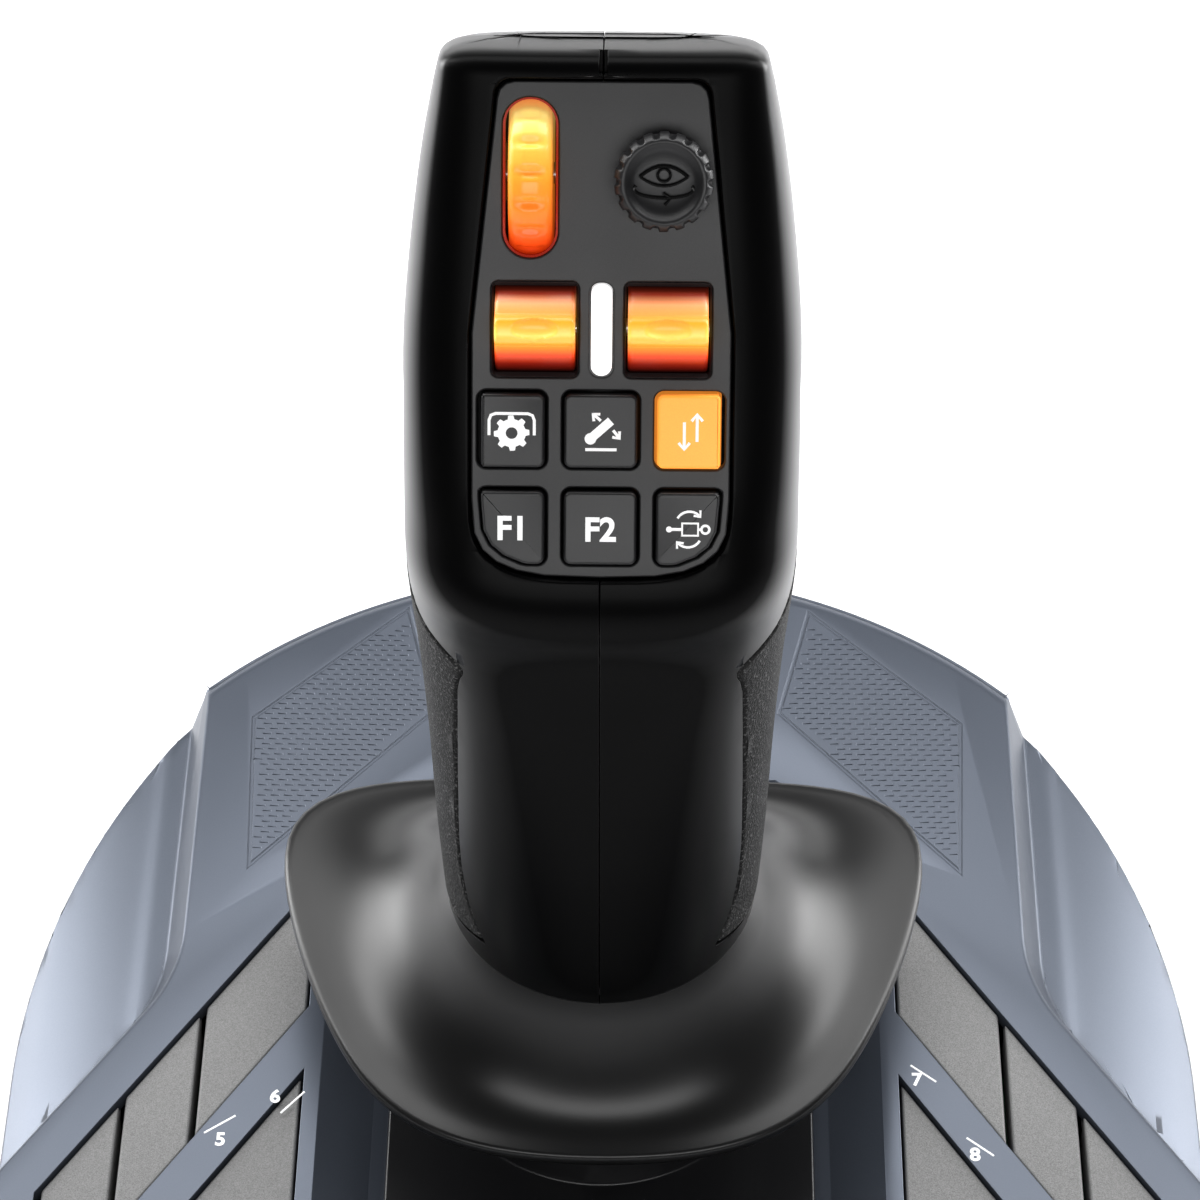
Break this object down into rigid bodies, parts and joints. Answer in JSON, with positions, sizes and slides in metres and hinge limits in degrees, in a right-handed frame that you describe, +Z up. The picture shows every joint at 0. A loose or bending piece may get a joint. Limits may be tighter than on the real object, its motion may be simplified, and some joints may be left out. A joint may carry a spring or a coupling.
{
  "type": "flight joystick",
  "caption": "Desk joystick with a twisting handle on a spring-centred gimbal, a tilted head panel with keys, rollers, wheel and small stick, and a wide base with key rows.",
  "frame": {"origin": "centre of the base's footprint, on the surface that its rubber feet stand on", "axes": "+Z up, the user sits at -Y and faces +Y, +X to the right"},
  "size_m": [0.2, 0.1999, 0.2265],
  "materials": {
    "base_shell": "fine satin grain",
    "base_lower": "fine satin grain",
    "base_key": "fine matt grain",
    "console": "satin black",
    "skirt": "soft satin black",
    "handle": "satin black",
    "panel": "fine matt grain",
    "panel_key": "matt with printed white signs",
    "orange_key": "lit orange",
    "orange_roller": "clear lit orange",
    "grip_rubber": "coarse grain",
    "rubber": "matt",
    "light": "lit white diffuser",
    "steel": "ground",
    "zinc": "as cast, coated",
    "alloy": "turned",
    "inner_plastic": "moulded black",
    "board": "green solder mask"
  },
  "bodies": {
    "base": {"base_bottom_shell": "base_lower", "base_top_shell": "base_shell", "console_panel": "console", "rubber_feet": "rubber", "base_screws": "steel", "ballast_plate": "zinc", "main_board": "board", "key_boards": "board", "usb_inlet": "steel", "throttle_pot": "inner_plastic", "gimbal_cradle": "inner_plastic", "sensor_board": "board", "centering_spring": "steel"},
    "pitch_frame": {"gimbal_ring": "alloy", "pitch_pins": "steel"},
    "stick": {"gimbal_yoke": "inner_plastic", "roll_pins": "steel", "stick_magnet": "steel", "dust_dome": "skirt", "stem_tube": "alloy", "stem_clip": "steel", "skirt": "skirt", "skirt_screws": "steel"},
    "handle": {"twist_hub": "inner_plastic", "handle_left": "handle", "handle_right": "handle", "grip_pad_left": "grip_rubber", "grip_pad_right": "grip_rubber", "handle_screws": "steel", "control_panel": "panel", "head_frame": "inner_plastic", "head_board": "board", "head_axles": "steel", "light_bar": "light", "knob_housing": "inner_plastic", "trigger_pin": "steel", "trigger_bracket": "inner_plastic"},
    "throttle": {"throttle_slider": "panel_key"},
    "thumb_wheel": {"thumb_wheel": "orange_roller"},
    "roller_left": {"roller_left": "orange_roller"},
    "roller_right": {"roller_right": "orange_roller"},
    "knob_ring": {"knob_ring": "steel"},
    "camera_knob": {"camera_knob": "panel_key"},
    "trigger": {"trigger": "handle"},
    "panel_key_1": {"panel_key_1": "panel_key"},
    "panel_key_2": {"panel_key_2": "panel_key"},
    "panel_key_3": {"panel_key_3": "orange_key"},
    "panel_key_4": {"panel_key_4": "panel_key"},
    "panel_key_5": {"panel_key_5": "panel_key"},
    "panel_key_6": {"panel_key_6": "panel_key"},
    "base_key_left_1": {"base_key_left_1": "base_key"},
    "base_key_left_2": {"base_key_left_2": "base_key"},
    "base_key_left_3": {"base_key_left_3": "base_key"},
    "base_key_left_4": {"base_key_left_4": "base_key"},
    "base_key_left_5": {"base_key_left_5": "base_key"},
    "base_key_right_1": {"base_key_right_1": "base_key"},
    "base_key_right_2": {"base_key_right_2": "base_key"},
    "base_key_right_3": {"base_key_right_3": "base_key"},
    "base_key_right_4": {"base_key_right_4": "base_key"},
    "base_key_right_5": {"base_key_right_5": "base_key"}
  },
  "joints": [
    {"name": "stick_pitch", "type": "hinge", "parent": "base", "child": "pitch_frame", "pos_m": [0, -0.0037, 0.03], "axis": [1, 0, 0], "range_deg": [-12, 12], "stiffness_Nm_per_rad": 1.5, "deforming": ["centering_spring"]},
    {"name": "stick_roll", "type": "hinge", "parent": "pitch_frame", "child": "stick", "pos_m": [0, -0.0037, 0.03], "axis": [0, 1, 0], "range_deg": [-12, 12], "stiffness_Nm_per_rad": 1.5, "deforming": ["centering_spring"]},
    {"name": "handle_twist", "type": "hinge", "parent": "stick", "child": "handle", "pos_m": [0, -0.0037, 0.086], "axis": [0, 0, 1], "range_deg": [-15, 15], "stiffness_Nm_per_rad": 0.4},
    {"name": "thumb_wheel_spin", "type": "hinge", "parent": "handle", "child": "thumb_wheel", "pos_m": [-0.0098, 0.02377, 0.20845], "axis": [1, 0, 0], "continuous": true},
    {"name": "roller_left_tilt", "type": "hinge", "parent": "handle", "child": "roller_left", "pos_m": [-0.0091, 0.00764, 0.19469], "axis": [1, 0, 0], "range_deg": [-30, 30], "stiffness_Nm_per_rad": 0.02},
    {"name": "roller_right_tilt", "type": "hinge", "parent": "handle", "child": "roller_right", "pos_m": [0.0091, 0.00764, 0.19469], "axis": [1, 0, 0], "range_deg": [-30, 30], "stiffness_Nm_per_rad": 0.02},
    {"name": "camera_knob_updown", "type": "hinge", "parent": "handle", "child": "knob_ring", "pos_m": [0.0083, 0.02211, 0.20957], "axis": [1, 0, 0], "range_deg": [-10, 10], "stiffness_Nm_per_rad": 0.05},
    {"name": "camera_knob_sideways", "type": "hinge", "parent": "knob_ring", "child": "camera_knob", "pos_m": [0.0083, 0.02211, 0.20957], "axis": [0, 0.6018, 0.7986], "range_deg": [-10, 10], "stiffness_Nm_per_rad": 0.05},
    {"name": "panel_key_1_press", "type": "slide", "parent": "handle", "child": "panel_key_1", "axis": [0, -0.7986, 0.6018], "range_m": [-0.0009, 0], "stiffness_N_per_m": 400, "springref_m": 0.0005},
    {"name": "panel_key_2_press", "type": "slide", "parent": "handle", "child": "panel_key_2", "axis": [0, -0.7986, 0.6018], "range_m": [-0.0009, 0], "stiffness_N_per_m": 400, "springref_m": 0.0005},
    {"name": "panel_key_3_press", "type": "slide", "parent": "handle", "child": "panel_key_3", "axis": [0, -0.7986, 0.6018], "range_m": [-0.0009, 0], "stiffness_N_per_m": 400, "springref_m": 0.0005},
    {"name": "panel_key_4_press", "type": "slide", "parent": "handle", "child": "panel_key_4", "axis": [0, -0.7986, 0.6018], "range_m": [-0.0009, 0], "stiffness_N_per_m": 400, "springref_m": 0.0005},
    {"name": "panel_key_5_press", "type": "slide", "parent": "handle", "child": "panel_key_5", "axis": [0, -0.7986, 0.6018], "range_m": [-0.0009, 0], "stiffness_N_per_m": 400, "springref_m": 0.0005},
    {"name": "panel_key_6_press", "type": "slide", "parent": "handle", "child": "panel_key_6", "axis": [0, -0.7986, 0.6018], "range_m": [-0.0009, 0], "stiffness_N_per_m": 400, "springref_m": 0.0005},
    {"name": "trigger_pull", "type": "hinge", "parent": "handle", "child": "trigger", "pos_m": [0, 0.0246, 0.167], "axis": [1, 0, 0], "range_deg": [-8, 0], "stiffness_Nm_per_rad": 0.06, "springref_deg": 2.86},
    {"name": "throttle_slide", "type": "slide", "parent": "base", "child": "throttle", "axis": [0, 1, 0], "range_m": [-0.015, 0.015]},
    {"name": "base_key_left_1_press", "type": "slide", "parent": "base", "child": "base_key_left_1", "axis": [0, 0, 1], "range_m": [-0.0012, 0], "stiffness_N_per_m": 400, "springref_m": 0.0005},
    {"name": "base_key_left_2_press", "type": "slide", "parent": "base", "child": "base_key_left_2", "axis": [0, 0, 1], "range_m": [-0.0012, 0], "stiffness_N_per_m": 400, "springref_m": 0.0005},
    {"name": "base_key_left_3_press", "type": "slide", "parent": "base", "child": "base_key_left_3", "axis": [0, 0, 1], "range_m": [-0.0012, 0], "stiffness_N_per_m": 400, "springref_m": 0.0005},
    {"name": "base_key_left_4_press", "type": "slide", "parent": "base", "child": "base_key_left_4", "axis": [0, 0, 1], "range_m": [-0.0012, 0], "stiffness_N_per_m": 400, "springref_m": 0.0005},
    {"name": "base_key_left_5_press", "type": "slide", "parent": "base", "child": "base_key_left_5", "axis": [0, 0, 1], "range_m": [-0.0012, 0], "stiffness_N_per_m": 400, "springref_m": 0.0005},
    {"name": "base_key_right_1_press", "type": "slide", "parent": "base", "child": "base_key_right_1", "axis": [0, 0, 1], "range_m": [-0.0012, 0], "stiffness_N_per_m": 400, "springref_m": 0.0005},
    {"name": "base_key_right_2_press", "type": "slide", "parent": "base", "child": "base_key_right_2", "axis": [0, 0, 1], "range_m": [-0.0012, 0], "stiffness_N_per_m": 400, "springref_m": 0.0005},
    {"name": "base_key_right_3_press", "type": "slide", "parent": "base", "child": "base_key_right_3", "axis": [0, 0, 1], "range_m": [-0.0012, 0], "stiffness_N_per_m": 400, "springref_m": 0.0005},
    {"name": "base_key_right_4_press", "type": "slide", "parent": "base", "child": "base_key_right_4", "axis": [0, 0, 1], "range_m": [-0.0012, 0], "stiffness_N_per_m": 400, "springref_m": 0.0005},
    {"name": "base_key_right_5_press", "type": "slide", "parent": "base", "child": "base_key_right_5", "axis": [0, 0, 1], "range_m": [-0.0012, 0], "stiffness_N_per_m": 400, "springref_m": 0.0005}
  ]
}
